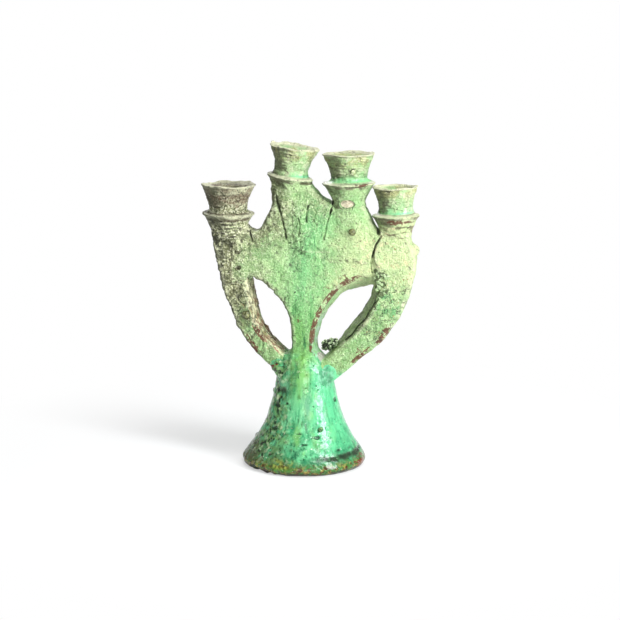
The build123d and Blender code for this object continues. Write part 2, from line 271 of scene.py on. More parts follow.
def crust(points, calm=1.0):
    """How far the fired skin stands out or sinks: lumps, a crawling crust, pits and drying cracks. It is
    calmer on the glossy foot and roughest on the upper left, which the kiln's ash struck."""
    x, y, z = points
    upper = 0.4 + 0.6 * ease(z + 0 * x, 95, 125)
    left = ease(-x + 0.25 * z, 15, 85)
    rough = upper * (0.85 + 0.55 * left) * calm
    lumps = 0.32 * noise(points, 13.0, 3) + 0.24 * noise(points, 5.5, 4)
    grain = 0.30 * noise(points, 2.7, 5) + 0.20 * noise(points, 1.5, 6)
    gaps = ease(np.abs(noise(points, 5.0, 7)), 0.16, 0.0) * ease(noise(points, 16.0, 9), 0.0, 0.7)
    pits = ease(noise(points, 2.4, 8), 1.15, 1.8)
    bump = lumps * (0.4 + 0.6 * rough) + rough * (grain - 0.9 * gaps - 0.6 * pits)
    scabs = ease(-x + 0 * z, 2, 26) * ease(z + 0 * x, 100, 80) * ease(noise(points, 14.0, 10), -0.3, 0.6)
    bump = bump + scabs * (1.0 * noise(points, 3.6, 11) - 1.6 * ease(noise(points, 3.6, 12), 0.6, 1.3))
    if z.min() < 80:
        for centre, half in CHIPS:
            away = sum(((axis - c) / h) ** 2 for axis, c, h in zip(points, centre, half))
            bump = bump - 1.8 * ease(np.sqrt(away) + 0.4 * noise(points, 3.0, 17), 1.25, 0.4)
        band = ease(np.abs(z - 15.0 + 0.9 * noise(points, 9.0, 18)), 3.2, 0.4)
        bump = bump - 0.7 * band * ease(x, 8, 22) * ease(y, 8, -2)
    if z.max() > 125:
        drips = ease(z, 160, 180) * ease(z, 262, 240)
        drips = drips * ease(np.abs(x - 0.06 * (z - 160) - 1), 30, 10) * ease(y, -3, -8)
        tall = noise((x, y, 0.28 * z), 3.6, 15)
        bump = bump + 0.3 * drips * np.clip(tall, -1, 2)
        scar = np.hypot((x - 41.3) / 6.4, (z - 247.2) / 3.8) + 0.08 * noise(points, 3.0, 16)
        bump = bump - 1.2 * ease(scar, 1.1, 0.94) * ease(y, -3, -8)
        wander = 0.5 * noise(flat(points), 3.5, 14)
        for line in DRYING_CRACKS:
            bump = bump - 1.7 * ease(off_line(line, x + wander, z), 1.15, 0.1) * ease(y, -2, -6)
    return bump


def skin(name, field, points, joined, bump, rise=None):
    """The mesh of a field's skin, with the crust's bump. Each point carries how far it stands out (height),
    how sharply the clay turns away there (edge), and how deep it lies in a fold between members (fold). A
    cup's points carry how far up the cup they are (rise)."""
    step = float(points[0].ravel()[1] - points[0].ravel()[0])
    grid = openvdb.FloatGrid(4 * step)
    grid.copyFromArray(np.ascontiguousarray(np.clip(field - bump, -4 * step, 4 * step), dtype=np.float32))
    corners, quads = grid.convertToQuads(isovalue=0.0)
    label = np.arange(len(corners))
    while True:
        lowest = label[quads].min(axis=1)
        new = label.copy()
        for k in range(4):
            np.minimum.at(new, quads[:, k], lowest)
        new = new[new]
        if (new == label).all():
            break
        label = new
    quads = quads[label[quads[:, 0]] == np.bincount(label).argmax()]
    used, quads = np.unique(quads, return_inverse=True)
    quads = quads.reshape(-1, 4)
    places = corners[used] * step + np.array([axis.ravel()[0] for axis in points])
    mesh = bpy.data.meshes.new(name)
    mesh.vertices.add(len(places))
    mesh.vertices.foreach_set("co", (places * MM).astype(np.float32).ravel())
    mesh.loops.add(quads.size)
    mesh.loops.foreach_set("vertex_index", quads.astype(np.int32).ravel())
    mesh.polygons.add(len(quads))
    mesh.polygons.foreach_set("loop_start", np.arange(0, quads.size, 4, dtype=np.int32))
    mesh.polygons.foreach_set("use_smooth", np.ones(len(quads), bool))
    mesh.update(calc_edges=True)
    normal = np.empty(len(places) * 3, np.float32)
    mesh.vertices.foreach_get("normal", normal)
    normal = normal.reshape(-1, 3)
    ways = [(i, j, k) for i in (-1, 0, 1) for j in (-1, 0, 1) for k in (-1, 0, 1)
            if abs(i) + abs(j) + abs(k) in (1, 3)]
    here = sample(joined, points, places)
    around = sum(sample(joined, points, places + EDGE_REACH * np.array(way) / np.linalg.norm(way))
                 for way in ways)
    marks = {
        "height": sample(bump + 0 * field, points, places),
        "edge": (around / len(ways) - here) / EDGE_REACH,
        "fold": 1 - (sample(joined, points, places + normal * FOLD_REACH) - here) / FOLD_REACH,
    }
    if rise is not None:
        marks["rise"] = sample(rise, points, places)
    for word, value in marks.items():
        layer = mesh.attributes.new(word, "FLOAT", "POINT")
        layer.data.foreach_set("value", value.astype(np.float32))
    piece = bpy.data.objects.new(name, mesh)
    bpy.context.collection.objects.link(piece)
    return piece


def rgb(red, green, pale_sheen):
    """A colour in everyday values of 0 to 255, as a shader takes it."""
    return tuple((c / 255 / 12.92) if c < 11 else ((c / 255 + 0.055) / 1.055) ** 2.4
                 for c in (red, green, pale_sheen)) + (1,)


class Glaze:
    """A glaze in the making, in the object's own millimetres. Each call returns a new node's output."""

    def __init__(self, name):
        self.material = bpy.data.materials.new(name)
        self.material.use_nodes = True
        self.tree = self.material.node_tree
        self.shader = self.tree.nodes["Principled BSDF"]
        place = self.add("ShaderNodeTexCoord").outputs["Object"]
        self.place = self.add("ShaderNodeMapping", {"Vector": place, "Scale": (1000, 1000, 1000)}).outputs[0]
        self.x, self.y, self.z = self.add("ShaderNodeSeparateXYZ", {0: self.place}).outputs[:3]
        self.height, self.edge, self.fold, self.rise = (
            self.add("ShaderNodeAttribute", attribute_name=word).outputs["Fac"] for word in
            ("height", "edge", "fold", "rise"))

    def add(self, kind, sockets=None, **settings):
        return add_node(self.tree, kind, sockets, **settings)

    def sum(self, a, b, operation="ADD"):
        return self.add("ShaderNodeMath", {0: a, 1: b}, operation=operation).outputs[0]

    def times(self, *values):
        total = values[0]
        for value in values[1:]:
            total = self.sum(total, value, "MULTIPLY")
        return total

    def most(self, a, b):
        return self.sum(a, b, "MAXIMUM")

    def size(self, a):
        return self.sum(a, 0.0, "ABSOLUTE")

    def ragged(self, value, cloud, amount):
        """A value pushed up and down by a cloud, so that what it draws has a ragged edge."""
        return self.sum(value, self.times(self.sum(cloud, -0.5), amount))

    def ease(self, value, start, end, low=0.0, high=1.0):
        """Runs softly from low at start to high at end."""
        return self.add("ShaderNodeMapRange", {0: value, 1: start, 2: end, 3: low, 4: high},
                        interpolation_type="SMOOTHSTEP").outputs[0]

    def cloud(self, size, seed, detail=3.0, stretch=(1.0, 1.0, 1.0), rough=0.55):
        """Soft random patches about so many millimetres across, from 0 to 1."""
        place = self.add("ShaderNodeMapping", {"Vector": self.place,
                                               "Location": (17.3 * seed, 5.1 * seed, 9.7 * seed),
                                               "Scale": tuple(s / size for s in stretch)}).outputs[0]
        return self.add("ShaderNodeTexNoise", {"Vector": place, "Scale": 1.0, "Detail": detail,
                                               "Roughness": rough}).outputs[0]

    def facing(self, *way):
        """1 where the skin faces this way, -1 where it faces the other way."""
        normal = self.add("ShaderNodeNewGeometry").outputs["Normal"]
        way = tuple(Vector(way).normalized())
        return self.add("ShaderNodeVectorMath", {0: normal, 1: way}, operation="DOT_PRODUCT").outputs["Value"]

    def near(self, centre, half):
        """1 in the middle of a soft ellipsoid, 0 outside it."""
        place = self.add("ShaderNodeVectorMath", {0: self.place, 1: centre}, operation="SUBTRACT").outputs[0]
        place = self.add("ShaderNodeVectorMath", {0: place, 1: half}, operation="DIVIDE").outputs[0]
        return self.ease(self.add("ShaderNodeVectorMath", {0: place}, operation="LENGTH").outputs["Value"],
                         1.3, 0.3)

    def mix(self, share, one, other):
        return self.add("ShaderNodeMix", {0: share, 6: one, 7: other}, data_type="RGBA").outputs[2]

    def wash(self, under, over, *shares):
        """A colour laid over another, as far as the product of the shares says."""
        return self.mix(self.times(*shares), under, over)

    def fire(self, colour, roughness, relief, depth):
        """Gives the shader its colour, its roughness and a fine relief of so many millimetres."""
        bump = self.add("ShaderNodeBump", {"Height": relief, "Distance": depth * MM,
                                           "Strength": 1.0}).outputs[0]
        for word, value in (("Base Color", colour), ("Roughness", roughness), ("Normal", bump)):
            if isinstance(value, bpy.types.NodeSocket):
                self.tree.links.new(value, self.shader.inputs[word])
            else:
                self.shader.inputs[word].default_value = value
        return self.material


RED_CLAY = rgb(106, 46, 32)
DARK_GRIME_AND_SHADE = rgb(38, 38, 26)
BARE_PLACES = (
    ((-45, -10, 117), (9, 16, 14)), ((-33, 4, 124), (10, 14, 22)), ((75, -12, 127), (8, 9, 15)),
    ((57, -12, 106), (16, 9, 9)), ((10.5, -12, 118), (4, 7, 26)), ((14, -12, 142), (7, 7, 16)),
    ((26, -12, 163), (13, 7, 12)), ((44, -12, 176), (14, 7, 6)), ((88, -18, 231), (13, 12, 3.0)),
    ((55, -20, 264.8), (9, 12, 1.6)), ((-4, -13, 139), (4, 5, 4)), ((55, -14, 8), (8, 16, 8)),
    ((-28, -14, 96), (5, 6, 6)), ((-48, 10, 160), (8, 9, 30)), ((60, 12, 150), (14, 8, 30)),
    ((95, 8, 178), (9, 14, 26)), ((0, 14, 150), (9, 6, 26)), ((-20, 14, 232), (14, 6, 12)),
    ((-30, 44, 14), (22, 14, 12)),
)


def glaze_batch(name):
    """A new glaze with the clouds that mottle them all. The same clouds run on across the luted joints."""
    g = Glaze(name)
    g.broad, g.patch, g.mottle = g.cloud(34, 1), g.cloud(13, 2, 4), g.cloud(5.5, 3, 5, rough=0.65)
    g.grain, g.fine = g.cloud(1.7, 4, 3, rough=0.6), g.cloud(0.8, 5, 2)
    g.runs = g.cloud(9, 6, 4, stretch=(1, 1, 0.16), rough=0.65)
    g.streaks = g.cloud(4.5, 18, 4, stretch=(1, 1, 0.15), rough=0.65)
    g.upper = g.ease(g.z, 96, 130)
    return g


def thin_crust(g, scaly=1.0, ash=0.0):
    """Copper green fired thin over a pale crust: greener and streaked up the middle, creamy to the right,
    dull and grey-brown at the upper left, which the kiln's ash struck."""
    left = g.ragged(g.sum(g.times(g.x, -0.9), g.times(g.sum(g.z, -190), 0.5)), g.broad, 90)
    g.dull = g.times(g.ease(left, 8 - ash, 78 - ash), g.ease(g.z, 105, 140),
                     g.ease(g.sum(g.z, g.x), 265, 225))
    crotch = g.times(g.near((13, -12, 246), (19, 16, 17)), g.ease(g.mottle, 0.36, 0.56, 0.4, 1))
    g.dull = g.most(g.dull, g.times(crotch, 0.55))
    right = g.times(g.ease(g.ragged(g.x, g.broad, 60), 12, 50), g.ease(g.z, 148, 185),
                    g.ease(g.sum(g.z, g.times(g.x, -0.4)), 218, 192))
    offset = g.ragged(g.sum(g.x, g.times(g.z, -0.1)), g.patch, 30)
    middle = g.times(g.ease(g.size(g.sum(offset, 14)), 26, 4), g.ease(g.z, 262, 230))
    colour = g.mix(g.ease(g.patch, 0.4, 0.62), rgb(158, 204, 134), rgb(188, 220, 156))
    colour = g.wash(colour, rgb(138, 210, 136), middle, g.ease(g.runs, 0.36, 0.6, 0.45, 1.0))
    colour = g.wash(colour, rgb(212, 228, 166), right, g.ease(g.patch, 0.32, 0.6, 0.6, 1.0))
    colour = g.wash(colour, rgb(240, 224, 176), right, g.ease(g.cloud(6, 17, 4), 0.55, 0.68, 0, 0.7))
    colour = g.wash(colour, rgb(116, 164, 96), g.ease(g.mottle, 0.44, 0.32, 0, 0.4 * scaly))
    colour = g.wash(colour, rgb(72, 148, 80), middle, g.ease(g.streaks, 0.54, 0.66, 0, 0.8))
    colour = g.wash(colour, rgb(236, 246, 208), g.ease(g.grain, 0.52, 0.66, 0, 0.28 * scaly))
    colour = g.wash(colour, rgb(90, 134, 70), g.ease(g.grain, 0.46, 0.34, 0, 0.30 * scaly))
    dulled = g.mix(g.ease(g.patch, 0.42, 0.6), rgb(160, 158, 116), rgb(200, 202, 156))
    dulled = g.wash(dulled, rgb(242, 240, 206), g.ease(g.grain, 0.51, 0.61))
    dirt = g.cloud(7, 22, 5, stretch=(0.6, 1, 1.5), rough=0.7)
    dulled = g.wash(dulled, rgb(84, 74, 50), g.ease(dirt, 0.5, 0.6, 0, 0.85))
    dulled = g.wash(dulled, rgb(50, 44, 28), g.ease(g.grain, 0.46, 0.37, 0, 0.9))
    return g.mix(g.times(g.dull, 0.9), colour, dulled)


def deep_pool(g):
    """Copper green run thick and glossy: emerald streaked dark and pale, scabby olive on the left with
    painted shade there and painted highlights on its bump tops, rusty and amber where it thins over the rim,
    burnt in a band over the rim's right front, and painted glints and crease shade by the right arm's root."""
    pool = g.mix(g.ease(g.runs, 0.38, 0.6), rgb(50, 142, 92), rgb(110, 198, 140))
    blots = g.cloud(6, 38, 4, stretch=(1, 1, 0.4), rough=0.6)
    pool = g.wash(pool, rgb(16, 84, 60), g.ease(blots, 0.6, 0.68, 0, 0.75))
    pool = g.wash(pool, rgb(20, 98, 62), g.ease(g.streaks, 0.5, 0.66, 0, 0.85))
    tall = g.cloud(12, 8, 3, stretch=(1, 1, 0.25))
    pool = g.wash(pool, rgb(134, 190, 104), g.ease(tall, 0.5, 0.7, 0, 0.55))
    pool = g.wash(pool, rgb(156, 220, 172), g.ease(g.grain, 0.56, 0.7, 0, 0.5))
    inner = g.ease(g.size(g.ragged(g.x, g.patch, 24)), 16, 2)
    sap = g.times(inner, g.ease(g.z, 50, 92), g.ease(g.y, 4, -8), g.ease(g.runs, 0.36, 0.56, 0.2, 0.75))
    pool = g.wash(pool, rgb(122, 178, 82), sap)
    east = g.times(g.ease(g.x, 4, 24), g.ease(g.z, 12, 22))
    pool = g.wash(pool, rgb(90, 186, 132), east, g.ease(g.streaks, 0.4, 0.62, 0.8, 0.45))
    west = g.ease(g.ragged(g.times(g.x, -1), g.patch, 70), 2, 24)
    # The scabby olive on the foot's left is partly its colour and partly painted shade; its pale bump tops
    # are painted highlights.
    scab_with_painted_light = g.mix(g.ease(g.mottle, 0.43, 0.53), rgb(20, 36, 18), rgb(104, 148, 88))
    scab_with_painted_light = g.wash(scab_with_painted_light, rgb(200, 222, 176), g.ease(g.height, -0.3, 0.4),
                  g.ease(g.cloud(4, 32, 4), 0.50, 0.60))
    pool = g.wash(pool, scab_with_painted_light, west, g.ease(g.cloud(7, 9, 5, rough=0.65), 0.36, 0.54))
    foothill = g.times(g.ease(g.ragged(g.z, g.patch, 40), 34, 14), g.ease(g.mottle, 0.4, 0.6))
    pool = g.wash(pool, rgb(30, 86, 56), foothill, 0.6)
    rim = g.ease(g.ragged(g.z, g.mottle, 24), 15, 5)
    rust = g.mix(g.ease(g.mottle, 0.46, 0.54), rgb(72, 42, 22), rgb(150, 136, 60))
    rust = g.wash(rust, rgb(62, 108, 44), g.ease(g.cloud(4, 10, 3), 0.46, 0.56))
    pool = g.wash(pool, rust, rim, g.ease(g.cloud(15, 11, 3), 0.30, 0.46))
    amber = g.near((-14, -52, 9), (17, 14, 7))
    gold = g.mix(g.ease(g.cloud(3.2, 33, 4), 0.40, 0.60), rgb(78, 74, 30), rgb(158, 168, 78))
    gold = g.wash(gold, rgb(66, 122, 42), g.ease(g.z, 9, 5))
    pool = g.wash(pool, gold, amber, g.ease(g.cloud(9, 26, 3), 0.36, 0.56))
    sooty = g.times(g.ease(g.ragged(g.z, g.grain, 8), 6, 2), g.ease(g.cloud(6, 27, 3), 0.36, 0.5))
    pool = g.wash(pool, rgb(34, 30, 16), sooty, 0.9)
    brown = g.times(g.near((-46, -16, 14), (20, 34, 15)), g.ease(g.mottle, 0.36, 0.56))
    brown = g.times(brown, g.ease(g.cloud(4, 24, 4, rough=0.65), 0.62, 0.5, 0.35, 0.9))
    pool = g.wash(pool, rgb(82, 76, 40), brown)
    level = g.sum(g.ragged(g.z, g.patch, 8), -15.0)
    band = g.times(g.ease(g.size(level), 3.6, 0.9), g.ease(g.x, 8, 30), g.ease(g.y, 10, 0))
    pool = g.wash(pool, rgb(42, 46, 34), band, g.ease(g.mottle, 0.3, 0.46, 0.45, 0.92))
    # Painted glints and shade: the patch at the right arm's root mixes dark teal crease shade with pale
    # blue-green glints.
    crotch = g.ragged(g.near((21, -15, 85), (11, 12, 15)), g.mottle, 2.4)
    glassy = g.mix(g.ease(g.cloud(6, 34, 4, rough=0.6), 0.40, 0.60), rgb(34, 78, 58), rgb(126, 176, 150))
    return g.mix(g.ease(crotch, 0.3, 1.0, 0, 0.6), pool, glassy)


def weathered(g, colour, scaly=1.0):
    """Bare red clay along the knocks, pale worn corners, cracks, pits, painted shade in the folds and deep
    hollows, and painted shade on left- and down-facing roundings. Returns the colour and how deep the cracks
    and pits go."""
    bare = 0.0
    for centre, half in BARE_PLACES:
        bare = g.most(g.near(centre, half), bare)
    ridge = g.ease(g.edge, 0.09, 0.2)
    colour = g.wash(colour, rgb(226, 228, 190), ridge, g.upper, g.ease(g.mottle, 0.36, 0.56, 0.7, 0.15))
    # Painted shade: the left- and down-facing roundings of the upper members are painted dark olive.
    shaded = g.times(g.ease(g.facing(-0.85, -0.15, -0.5), 0.3, 0.65), g.ease(g.edge, 0.03, 0.09), g.upper,
                     g.ease(g.mottle, 0.34, 0.6, 0.9, 0.5))
    colour = g.wash(colour, rgb(70, 74, 42), shaded)
    flaked = g.sum(g.cloud(5, 12, 5, rough=0.7), g.times(ridge, 0.12))
    flaked = g.ease(g.sum(flaked, g.times(bare, 0.095)), 0.655, 0.685)
    line = g.times(g.ease(g.edge, 0.115, 0.135), g.ease(g.edge, 0.19, 0.165),
                   g.ease(g.cloud(8, 25, 4), 0.44, 0.5))
    colour = g.wash(colour, RED_CLAY, g.most(flaked, line), g.ease(bare, 0.0, 0.3), 0.9)
    wander = g.size(g.sum(g.cloud(6.5, 13, 4), -0.5))
    cracks = g.times(g.ease(wander, 0.012 * scaly**2, 0.003), g.ease(g.patch, 0.46 - 0.3 * (scaly - 1), 0.54),
                     g.upper, g.ease(g.near((85, -10, 196), (24, 24, 26)), 0.05, 0.4, 1, 0.15))
    pits = g.times(g.ease(g.cloud(2.0, 14, 3, stretch=(1, 1, 0.8), rough=0.6), 0.36, 0.30),
                   g.ease(g.cloud(11, 15), 0.38, 0.56))
    # The dark wash below mixes dark crack and pit marks with painted shade: sunk paints shade into the deep
    # hollows, and the fold term paints shade into the folds between members.
    depth = g.sum(g.height, g.sum(g.times(g.dull, -0.5), g.ease(g.z, 100, 84, 0, -0.4)))
    sunk = g.times(g.ease(depth, -1.05, -1.7), g.ease(g.mottle, 0.34, 0.5, 0.6, 1.0),
                   g.ease(g.dull, 0, 1, 1, 0.7))
    grime_and_shade = g.most(g.most(g.times(cracks, 0.8), pits), sunk)
    grime_and_shade = g.most(grime_and_shade, g.times(g.ease(g.fold, 0.3, 0.9), 0.85))
    colour = g.wash(colour, g.mix(g.ease(g.z, 84, 100), rgb(22, 50, 32), DARK_GRIME_AND_SHADE), grime_and_shade,
                    g.ease(g.z, 84, 100, 0.85, 1))
    sand = g.times(g.ease(g.cloud(1.9, 20, 2), 0.7, 0.75), g.ease(g.cloud(20, 21), 0.4, 0.55))
    colour = g.wash(colour, rgb(240, 244, 218), sand, 0.8)
    scar = g.times(g.near((41.3, -14, 247.2), (6.4, 12, 3.7)), g.ease(g.y, -4, -8))
    colour = g.wash(colour, rgb(238, 226, 194), g.ease(scar, 0.26, 0.32))
    return colour, g.sum(g.times(cracks, -0.4), g.times(pits, -0.35))


MATT, GLASSY = 0.58, 0.12


def glossed(g, colour, gloss, marks, relief=None):
    """Fires a glaze: rough and matt where gloss is 0, glassy and smooth where it is 1."""
    roughness = g.ease(g.ragged(gloss, g.mottle, 0.5), 0.0, 1.0, MATT, GLASSY)
    matt = g.ease(gloss, 1.0, 0.2, 0.07, 1.0)
    relief = relief or g.sum(g.grain, g.times(g.fine, 0.4))
    return g.fire(colour, roughness, g.sum(g.times(relief, matt), marks), 3.0)


def stem_and_foot_glaze(name):
    """The glaze of fan, stem and foot: a thin crust that turns into the deep pool at the stem's root."""
    g = glaze_batch(name)
    colour = thin_crust(g)
    stem = g.times(g.ease(g.z, 172, 122), g.ease(g.size(g.x), 32, 8))
    colour = g.wash(colour, rgb(124, 184, 96), stem, g.ease(g.runs, 0.4, 0.6, 0.3, 0.9))
    colour = g.wash(colour, rgb(38, 116, 60), stem, g.ease(g.streaks, 0.52, 0.64, 0, 0.85))
    web = g.times(g.near((-40, -12, 222), (22, 14, 22)), g.ease(g.cloud(5, 37, 5, rough=0.7), 0.44, 0.56))
    colour = g.wash(colour, rgb(112, 108, 74), web, 0.6)
    low = g.ease(g.ragged(g.z, g.patch, 34), 114, 96)
    colour = g.wash(colour, deep_pool(g), low)
    # Painted sheen: the stem's right-facing side, toward the window lamp, is painted pale bluish grey.
    pale_sheen = g.times(g.ease(g.facing(0.95, -0.1, 0), 0.55, 0.85), g.ease(g.x, 4, 8), g.ease(g.z, 156, 134),
                   g.ease(g.z, 96, 104), g.ease(g.x, 24, 16))
    colour = g.wash(colour, rgb(182, 202, 190), pale_sheen, g.ease(g.mottle, 0.38, 0.56, 0.85, 0.15))
    slip = g.near((20, -8, 104), (8, 9, 8))
    colour = g.wash(colour, rgb(164, 156, 146), g.ease(slip, 0.2, 0.6, 0, 0.85))
    colour, marks = weathered(g, colour)
    gloss = g.most(low, g.times(g.ease(g.runs, 0.55, 0.7), g.upper, 0.4))
    return glossed(g, colour, gloss, marks)


FOOT_SIDE = [
    (54.5, 0.0), (57.2, 2.4), (57.9, 5.5), (56.0, 9.5), (51.0, 17.0), (45.4, 25.0), (41.2, 33.0),
    (37.3, 41.0), (33.6, 52.0), (30.6, 63.0), (28.0, 75.0), (26.4, 85.0), (24.0, 94.0), (18.0, 101.0),
    (9.0, 104.5), (0.0, 105.0),
]
FOOT_INSIDE = [
    (0.0, 97.0), (9.0, 95.5), (17.0, 89.0), (20.0, 78.0), (26.0, 53.0), (33.5, 33.0), (44.0, 16.0),
    (49.5, 5.0), (50.5, 0.0),
]


def foot_clay(points):
    """The thrown cone as if it were solid. Its left side falls in a little more steeply than its right."""
    x, y, z = points
    lean = 0.9 * ease(z, 5, 40) - 0.3 * ease(z, 70, 90)
    radius = np.hypot(x - lean, y)
    turn = np.arctan2(y, x)
    radius = radius * (1 + 0.006 * np.sin(3 * turn + 0.6) + 0.005 * np.sin(5 * turn))
    height = z + 0.6 * np.sin(2 * turn + 1.0) * ease(z, 0.5, 6)
    return turned(np.vstack([smooth(FOOT_SIDE), [(0.0, 0.0)]]), radius, height)


def dress(piece, glaze, node):
    """Glazes a finished piece and gives it its place in the frame."""
    piece.data.materials.append(glaze)
    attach(piece, "root")
    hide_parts(node)


points = block((-61, -61, -2), (61, 61, 108), COARSE)
well = np.vstack([smooth(FOOT_INSIDE), [(50.5, -8.0), (0.0, -8.0)]])
well = turned(well, np.hypot(points[0], points[1]) + 0 * points[2], points[2] + 0 * points[0] + 0 * points[1])
bump = crust(points, 0.8)
clay = foot_clay(points)
field = np.maximum(np.maximum(clay, -well), -points[2] + bump)
foot_glaze = stem_and_foot_glaze("foot_green")
dress(skin("thrown_foot", field, points, clay, bump), foot_glaze, "foot")

# ------------------------------------------------------------
# Outer arms: slabs cut from rolled clay, bent by hand and luted to the foot's shoulders. The right
# one is the thicker, and its inner edge is pared back at the front.
SLAB_HALF = 13.0
LEFT_ARM = [
    (-71.0, 219, 14.2), (-69.4, 209, 14.8), (-67.8, 198, 14.8), (-64.9, 182, 13.9), (-60.3, 160, 12.6),
    (-56.4, 147, 11.4), (-50.8, 133, 10.2), (-42.6, 120, 9.4), (-32.4, 108, 9.2), (-21.0, 97, 9.2),
    (-12, 88, 9.0),
]
RIGHT_ARM = [
    (84.6, 224, 13.0), (84.4, 213, 14.6), (84.3, 203, 18.6), (83.4, 189, 19.2), (81.6, 174, 18.0),
    (76.8, 155, 16.4), (67.9, 139, 16.0), (57.3, 125, 15.2), (45.2, 112, 13.2), (33.0, 99, 11.4),
    (20, 87, 10.5),
]


def limb_outline(middle, pared=0.0):
    """The closed outline of a bent slab. Middle lists (x, z, half width). The stem's side is pared back."""
    middle = smooth(middle, parts=5)
    along = np.gradient(middle[:, :2], axis=0)
    along /= np.linalg.norm(along, axis=1)[:, None]
    across = np.stack([-along[:, 1], along[:, 0]], 1) * (-1 if middle[0, 0] > 0 else 1)
    width = middle[:, 2:]
    taper = ease(middle[:, 1:2], 88, 125) * (1 - ease(middle[:, 1:2], 175, 200))
    return np.vstack([middle[:, :2] - across * width,
                      (middle[:, :2] + across * (width - pared * taper))[::-1]])


ROOT_DEPTH = 1.2
SEAM = 0.05


def luted(own, *earlier, reach=None):
    """Own clay with its slip smeared into the corners with earlier members, less those members' own insides.
    Each earlier member comes as (its field, the fillet's size)."""
    joined, base = own, None
    for other, blend in earlier:
        joined = merge(joined, other, blend)
        base = other if base is None else np.minimum(base, other)
    reach = reach or 0.75 * max(blend for other, blend in earlier)
    return joined, np.maximum(np.maximum(joined + SEAM, own - reach), -base - ROOT_DEPTH)


def member(name, node, glaze, clay, neighbours, box, step=FINE, reach=None, crusted=crust, rise=None):
    """Makes one member in a box of space: its own clay, luted to its neighbours, crusted and glazed. Each
    neighbour comes as (its clay, the fillet's size)."""
    points = block(*box, step)
    joined, field = luted(clay(points), *((other(points), blend) for other, blend in neighbours), reach=reach)
    piece = skin(name, field, points, joined, crusted(points), rise(points) if rise else None)
    dress(piece, glaze, node)


def slab(points, outline, half, rounding, back=None):
    """Distance from a rounded slab with a given outline in x and z. Back is the outline of its rear face."""
    x, y, z = points
    edge = inside_of(outline, x, z)
    if back is not None:
        edge = edge + (inside_of(back, x, z) - edge) * np.clip((y + half) / (1.6 * half), 0, 1)
    face = np.abs(y) - half
    a, b = edge + rounding, face + rounding
    return np.minimum(np.maximum(a, b), 0) + np.hypot(np.maximum(a, 0), np.maximum(b, 0)) - rounding


def wavy(points, amount, seed, scale=24.0):
    """The points of a block with x and z shifted a little, so that a slab's edges wander as cut clay does."""
    x, y, z = points
    return x + amount * noise(flat(points), scale, seed), y, z + amount * noise(flat(points), scale, seed + 1)


def left_arm_clay(points):
    half = SLAB_HALF + 0.7 * noise(flat(points), 22.0, 21)
    return slab(wavy(points, 0.5, 11), limb_outline(LEFT_ARM, 2.6), half, 3.4, back=limb_outline(LEFT_ARM))


def right_arm_clay(points):
    z = points[2]
    half = SLAB_HALF + 1.2 * ease(z, 165, 190) * (1 - ease(z, 208, 222))
    half = half + 0.6 * noise(flat(points), 20.0, 23)
    return slab(wavy(points, 0.5, 13), limb_outline(RIGHT_ARM, 7.0), half, 3.6, back=limb_outline(RIGHT_ARM))


def arm_finish():
    """The arms' thin crust breaks into scales. The right one's pared edge, which faces away from the lamp, is
    olive with painted shade. The left one's inner edge, which faces the lamp, is creamy with painted light
    and streaks of bare clay, and its outer edge is peppered with soot and painted shade."""
    g = glaze_batch("arm_green")
    scaly = 1.5
    colour = thin_crust(g, scaly, ash=24.0)
    # The right arm's pared bevel faces up and left, away from the window lamp. Its olive is partly colour,
    # partly painted shade.
    olive = g.times(g.ease(g.facing(-0.75, 0, 0.6), 0.45, 0.8), g.ease(g.x, 16, 30), g.ease(g.z, 182, 166))
    colour = g.wash(colour, rgb(122, 140, 70), olive, g.ease(g.mottle, 0.3, 0.6, 0.95, 0.55))
    # Painted light: the left arm's inner face, which faces the window lamp, is painted pale cream as well as
    # streaked with bare clay.
    cream_lit_face = g.times(g.ease(g.facing(0.8, -0.2, 0.55), 0.4, 0.75), g.ease(g.x, -14, -24),
                    g.ease(g.z, 190, 174))
    colour = g.wash(colour, rgb(234, 228, 184), cream_lit_face, 0.9)
    scratched = g.cloud(4, 28, 4, stretch=(0.6, 1.6, 0.35))
    pink = g.times(cream_lit_face, g.ease(g.z, 160, 150), g.ease(scratched, 0.46, 0.54))
    colour = g.wash(colour, rgb(164, 96, 78), pink, 0.85)
    # The left arm's outer, left-facing edge is peppered with dark specks: partly soot, partly painted shade.
    outer = g.times(g.ease(g.facing(-1, -0.2, -0.3), 0.25, 0.6), g.ease(g.x, -30, -40),
                    g.ease(g.edge, 0.02, 0.08, 0.35, 1))
    colour = g.wash(colour, rgb(44, 42, 26), outer, g.ease(g.cloud(3, 29, 4), 0.46, 0.54))
    verdigris = g.times(g.near((80, -12, 156), (19, 12, 22)), g.ease(g.cloud(7, 36, 5, rough=0.7), 0.44, 0.6))
    colour = g.wash(colour, rgb(96, 178, 108), verdigris, 0.75)
    soiled = g.times(g.ease(g.x, -24, -38),
                     g.ease(g.cloud(5, 37, 5, stretch=(1, 1, 0.6), rough=0.7), 0.46, 0.58))
    colour = g.wash(colour, rgb(104, 106, 66), soiled, 0.65)
    aged = g.times(g.ease(g.z, 160, 140),
                   g.ease(g.cloud(6, 39, 5, stretch=(1, 1, 0.7), rough=0.7), 0.45, 0.6))
    colour = g.wash(colour, rgb(126, 158, 92), aged, 0.55)
    rusty = g.times(g.ease(g.cloud(2.4, 35, 3), 0.66, 0.7), g.ease(g.x, 50, 62), g.ease(g.z, 218, 208))
    colour = g.wash(colour, rgb(168, 112, 54), rusty)
    colour, marks = weathered(g, colour, scaly)
    low = g.ease(g.ragged(g.z, g.patch, 16), 94, 84)
    colour = g.wash(colour, deep_pool(g), low)
    return glossed(g, colour, low, marks)


